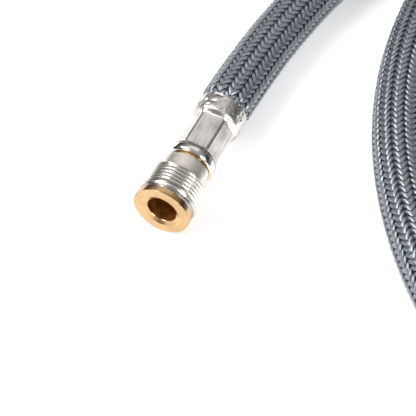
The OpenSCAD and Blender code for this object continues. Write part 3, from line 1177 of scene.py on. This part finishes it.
@dataclass
class HoseEnd:
    """A stem and the ferrule crimped on it: a polished rim, six flats and a collar.

    The turn of the flats is in degrees, and the width of the ridges between them in radians.
    """

    side: Side
    bore_r: float = 2.2
    stem_from: float = 13.2
    stem_r: float = 4.5
    rim_from: float = 14.9
    rim_to: float = 17.4
    rim_r: float = 6.1
    ferrule_from: float = 17.5
    crimp_to: float = 28.8
    collar_r: float = 6.4
    ferrule_to: float = 34.5
    flat_r: float = 4.9
    round_r: float = 5.4
    lip_r: float = 5.95
    flats: int = 6
    turn: float = 5.0
    ridge: float = 0.10
    ridge_w: float = 0.10
    dents: float = 0.05

    def build_rim(self) -> bpy.types.Object:
        """The polished rim and the stem on each side of it.

        Returns:
            The piece.
        """
        bm = turned(
            [
                (self.bore_r, self.stem_from), (self.stem_r, self.stem_from),
                (self.stem_r, self.rim_from + 0.1), (self.rim_r - 0.9, self.rim_from),
                *arc((self.rim_r - 0.9, self.rim_from + 0.9), 0.9, -75, 0, 7),
                *arc((self.rim_r - 0.55, self.rim_to - 0.55), 0.55, 5, 80, 6),
                (self.rim_r - 0.7, self.rim_to - 0.02), (self.stem_r - 0.2, self.rim_to),
                (self.stem_r - 0.2, self.rim_to + 0.5), (self.bore_r, self.rim_to + 0.5),
            ]
        )
        return self.place("rim", bm, BRIGHT, 50)

    def wall(self, along: float, angle: float) -> float:
        """The ferrule's outside radius.

        Args:
            along: the distance from the end's face, in millimetres.
            angle: the angle round the axis, in radians.

        Returns:
            The radius at that place.
        """
        sector = math.tau / self.flats
        off = (angle - math.radians(self.turn) + sector / 2) % sector - sector / 2
        flat = min(self.flat_r / math.cos(off), self.round_r)
        ridge = self.ridge * math.exp(-(((abs(off) - sector / 2) / self.ridge_w) ** 2))
        pressed = smoothstep((along - self.ferrule_from - 0.3) / 0.6)
        pressed *= 1 - smoothstep((along - self.crimp_to + 0.5) / 1.4)
        before = along < (self.ferrule_from + self.crimp_to) / 2
        plain = self.lip_r if before else self.collar_r - 0.1
        return plain + (flat + ridge - plain) * pressed

    def build_ferrule(self) -> bpy.types.Object:
        """The ferrule: a turned tube, pressed to its flats, with a little dented collar.

        Returns:
            The piece.
        """
        stations = np.concatenate([
            np.linspace(self.ferrule_from, self.ferrule_from + 1.2, 9),
            np.linspace(self.ferrule_from + 1.6, self.crimp_to - 1.2, 10),
            np.linspace(self.crimp_to - 0.8, self.crimp_to + 0.9, 14),
        ])
        crimp = [(self.round_r, float(s)) for s in stations]
        collar = np.linspace(self.crimp_to + 1.4, self.ferrule_to - 0.4, 16)
        outline = [
            (4.4, self.ferrule_from), (self.lip_r - 0.3, self.ferrule_from), *crimp,
            *[(self.collar_r, float(s)) for s in collar],
            *arc((self.collar_r - 0.22, self.ferrule_to - 0.22), 0.22, 0, 90, 5),
            (5.97, self.ferrule_to - 0.1), (5.95, self.ferrule_to - 2), (4.8, self.ferrule_to - 4),
            (4.4, self.ferrule_to - 5),
        ]
        bm = turned(outline, steps=180)
        crimp_end = self.crimp_to + 0.95
        for vert in bm.verts:
            radius = math.hypot(vert.co.x, vert.co.y)
            scale = 1.0
            if abs(radius - self.round_r) < 1e-3 and vert.co.z <= crimp_end:
                angle = math.atan2(vert.co.y, vert.co.x)
                scale = self.wall(vert.co.z, angle) / self.round_r
            elif abs(radius - self.collar_r) < 1e-3:
                dent = max(noise.noise(vert.co * 0.9) + 0.6 * noise.noise(vert.co * 2.2), 0.0)
                scale = 1 - self.dents * dent
            vert.co.x *= scale
            vert.co.y *= scale
        bmesh.ops.recalc_face_normals(bm, faces=bm.faces)
        pressed = Drawn(
            f"{self.side.value}_pressed_nickel", (0.88, 0.84, 0.795), 0.30, **axis_frame(self.side)
        )
        return self.place("ferrule_skin", bm, pressed, 48)

    def place(
        self, name: str, bm: bmesh.types.BMesh, finish: Finish, sharp: float
    ) -> bpy.types.Object:
        """Puts a piece on the end's axis and joins it to the hose.

        Args:
            name: the piece's name, after the end's own.
            bm: the mesh, in the end's own millimetres.
            finish: what it is made of.
            sharp: the angle between faces above which an edge stays sharp.

        Returns:
            The piece.
        """
        bmesh.ops.transform(bm, matrix=end_matrix(self.side), verts=bm.verts)
        piece = placed(f"{self.side.value}_{name}", bm, finish, sharp)
        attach(piece, "hose")
        return piece

    def build(self) -> list[bpy.types.Object]:
        """Builds the rim and the ferrule.

        Returns:
            Both pieces.
        """
        rim, ferrule = self.build_rim(), self.build_ferrule()
        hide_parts(f"{self.side.value}_ferrule")
        if self.side is Side.SUPPLY:
            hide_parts("supply_stem")
        return [rim, ferrule]


# ---------------------------------------------------------------------------------------------
# Sprayer
# ---------------------------------------------------------------------------------------------


@dataclass
class Sprayer:
    """The hand sprayer, dressed on its CAD solids."""

    finishes: dict[str, Finish] = field(
        default_factory=lambda: {
            "swivel_nut": BRIGHT, "nut_washer": RUBBER, "inlet_strainer": INSERT,
            "flow_restrictor": GREEN, "waterway": TUMBLED, "body_shell": SHELL,
            "gland_nut": TUMBLED, "valve_stem": STEEL, "valve_seal_lower": RUBBER,
            "valve_seal_upper": RUBBER, "thumb_lever": LEVER,
            "lever_pin": STEEL, "diffuser": INSERT, "face_gasket": RUBBER,
            "nozzle_plate": SILICONE, "face_ring": BRIGHT, "sprayer_stem": BRIGHT,
            "stem_o_ring_front": RUBBER, "stem_o_ring_rear": RUBBER,
        }
    )
    rounding: dict[str, float] = field(
        default_factory=lambda: {
            "swivel_nut": 0.35, "body_shell": 0.5, "gland_nut": 0.3, "thumb_lever": 0.6,
            "face_ring": 0.3, "lever_pin": 0.2,
        }
    )
    spring_at: tuple[float, float] = (-7.0, 40.1)
    spring_l: float = 8.8
    spring_r: float = 3.6
    wire_r: float = 0.42
    turns: float = 5.5
    travel: float = 4.0

    def build_spring(self) -> bpy.types.Object:
        """The return spring: a helix of wire on the valve's body.

        Returns:
            The spring.
        """
        x, low = self.spring_at
        steps = int(self.turns * 36)
        rise = (self.spring_l - 2 * self.wire_r) / steps
        upright = Matrix.Rotation(math.pi / 2, 4, "X")
        first = Matrix.Translation((self.spring_r, 0, self.wire_r)) @ upright
        bm = bmesh.new()
        bmesh.ops.create_circle(bm, cap_ends=False, radius=self.wire_r, segments=12, matrix=first)
        bmesh.ops.spin(
            bm,
            geom=bm.verts[:] + bm.edges[:],
            cent=(0, 0, 0),
            axis=(0, 0, 1),
            dvec=(0, 0, rise),
            angle=math.tau * self.turns,
            steps=steps,
        )
        bmesh.ops.holes_fill(bm, edges=[e for e in bm.edges if e.is_boundary], sides=0)
        bmesh.ops.recalc_face_normals(bm, faces=bm.faces)
        to_row = Matrix.Scale(MM, 4) @ Matrix.Translation((x, 0, low))
        bmesh.ops.transform(bm, matrix=to_row, verts=bm.verts)
        spring = placed("spring_wire", bm, STEEL, 50)
        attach(spring, "valve")
        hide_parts("valve_spring")
        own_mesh(spring)
        return spring

    def round_edges(self, node: bpy.types.Object, width_mm: float) -> None:
        """Rounds a solid's sharp edges as its mould or tool leaves them.

        Args:
            node: the CAD solid.
            width_mm: how far the rounding reaches from each edge, in millimetres.
        """
        weld = node.modifiers.new("weld", "WELD")
        weld.merge_threshold = 1e-6
        bevel = node.modifiers.new("round", "BEVEL")
        bevel.width = width_mm * MM
        bevel.segments = 3
        bevel.limit_method = "ANGLE"
        bevel.angle_limit = math.radians(30)
        bevel.harden_normals = True

    def build(self) -> list[bpy.types.Object]:
        """Dresses each CAD solid in its finish, and builds the spring.

        Returns:
            The solids and the spring.
        """
        dressed = []
        for name, finish in self.finishes.items():
            node = frame["nodes"][name]
            node.data.materials.clear()
            node.data.materials.append(finish.material())
            if name in self.rounding:
                self.round_edges(node, self.rounding[name])
            dressed.append(node)
        return [*dressed, self.build_spring()]


# ---------------------------------------------------------------------------------------------
# Studio
# ---------------------------------------------------------------------------------------------


@dataclass
class Studio:
    """The camera, the pale floor and the soft lights."""

    target: tuple[float, float, float] = (-0.092, 0.148, 0.0)
    elevation: float = 51.4
    distance: float = 0.4
    lens: float = 145.1

    def build_camera(self) -> None:
        """Looks along +Y, down on the supply end."""
        data = bpy.data.cameras.new("camera")
        data.lens = self.lens
        data.sensor_width = 36
        data.clip_start = 0.01
        camera = bpy.data.objects.new("camera", data)
        lift = math.radians(self.elevation)
        back = Vector((0, -math.cos(lift), math.sin(lift))) * self.distance
        camera.location = Vector(self.target) + back
        camera.rotation_euler = (math.pi / 2 - lift, 0, 0)
        bpy.context.scene.collection.objects.link(camera)
        bpy.context.scene.camera = camera

    def build_floor(self) -> None:
        """A large pale floor."""
        bm = bmesh.new()
        bmesh.ops.create_grid(bm, x_segments=2, y_segments=2, size=3.0)
        floor = placed("floor", bm, GlowingFloor("pale_floor", (0.93, 0.93, 0.93), 0.9))

    def add_light(
        self, name: str, at: tuple[float, float, float], size: tuple[float, float], power: float
    ) -> None:
        """Adds a soft light panel that faces the target.

        Args:
            name: the light's name.
            at: where it is, in metres from the target.
            size: its width and height, in metres.
            power: its power, in watts.
        """
        data = bpy.data.lights.new(name, "AREA")
        data.shape = "RECTANGLE"
        data.size, data.size_y = size
        data.energy = power
        light = bpy.data.objects.new(name, data)
        light.location = Vector(self.target) + Vector(at)
        light.rotation_euler = (-Vector(at)).to_track_quat("-Z", "Y").to_euler()
        bpy.context.scene.collection.objects.link(light)

    def build_lights(self) -> None:
        """A long light on the left, two fainter ones, and a room that is dark near the floor."""
        self.add_light("key", (-0.42, 0.02, 0.56), (0.7, 0.3), 4.6)
        self.add_light("top", (0.12, 0.5, 0.8), (0.9, 0.35), 0.5)
        self.add_light("front", (0.5, -0.6, 0.5), (0.6, 0.3), 5.5)
        world = bpy.data.worlds.new("room")
        world.use_nodes = True
        back = world.node_tree.nodes["Background"]
        sheet = Sheet(world.node_tree)
        height = sheet.add("SeparateXYZ", {0: sheet.add("TexCoord").outputs["Generated"]})
        sky = sheet.ramp(height.outputs[2], [(0.0, 0.05), (0.25, 0.05), (0.6, 0.3), (1.0, 0.45)])
        sheet.tree.links.new(sky, back.inputs["Color"])
        bpy.context.scene.world = world
        bpy.context.scene.view_settings.view_transform = "Standard"

    def build(self) -> None:
        """Builds the camera, the floor and the lights."""
        self.build_camera()
        self.build_floor()
        self.build_lights()


def main() -> None:
    """Builds the hose and its ends, the sprayer and the studio."""
    logging.basicConfig(level=logging.INFO, format="%(name)s: %(message)s")
    hose = Hose()
    core, braid = hose.build()
    supply = SupplyEnd().build()
    near = HoseEnd(Side.SUPPLY).build()
    far = HoseEnd(Side.SPRAYER).build()
    sprayer = Sprayer().build()
    hose.declare()
    Studio().build()
    for piece in (core, *braid, *supply, *near, *far, *sprayer):
        LOG.info("%s: %d faces", piece.name, len(piece.data.polygons))


if __name__ == "__main__":
    main()
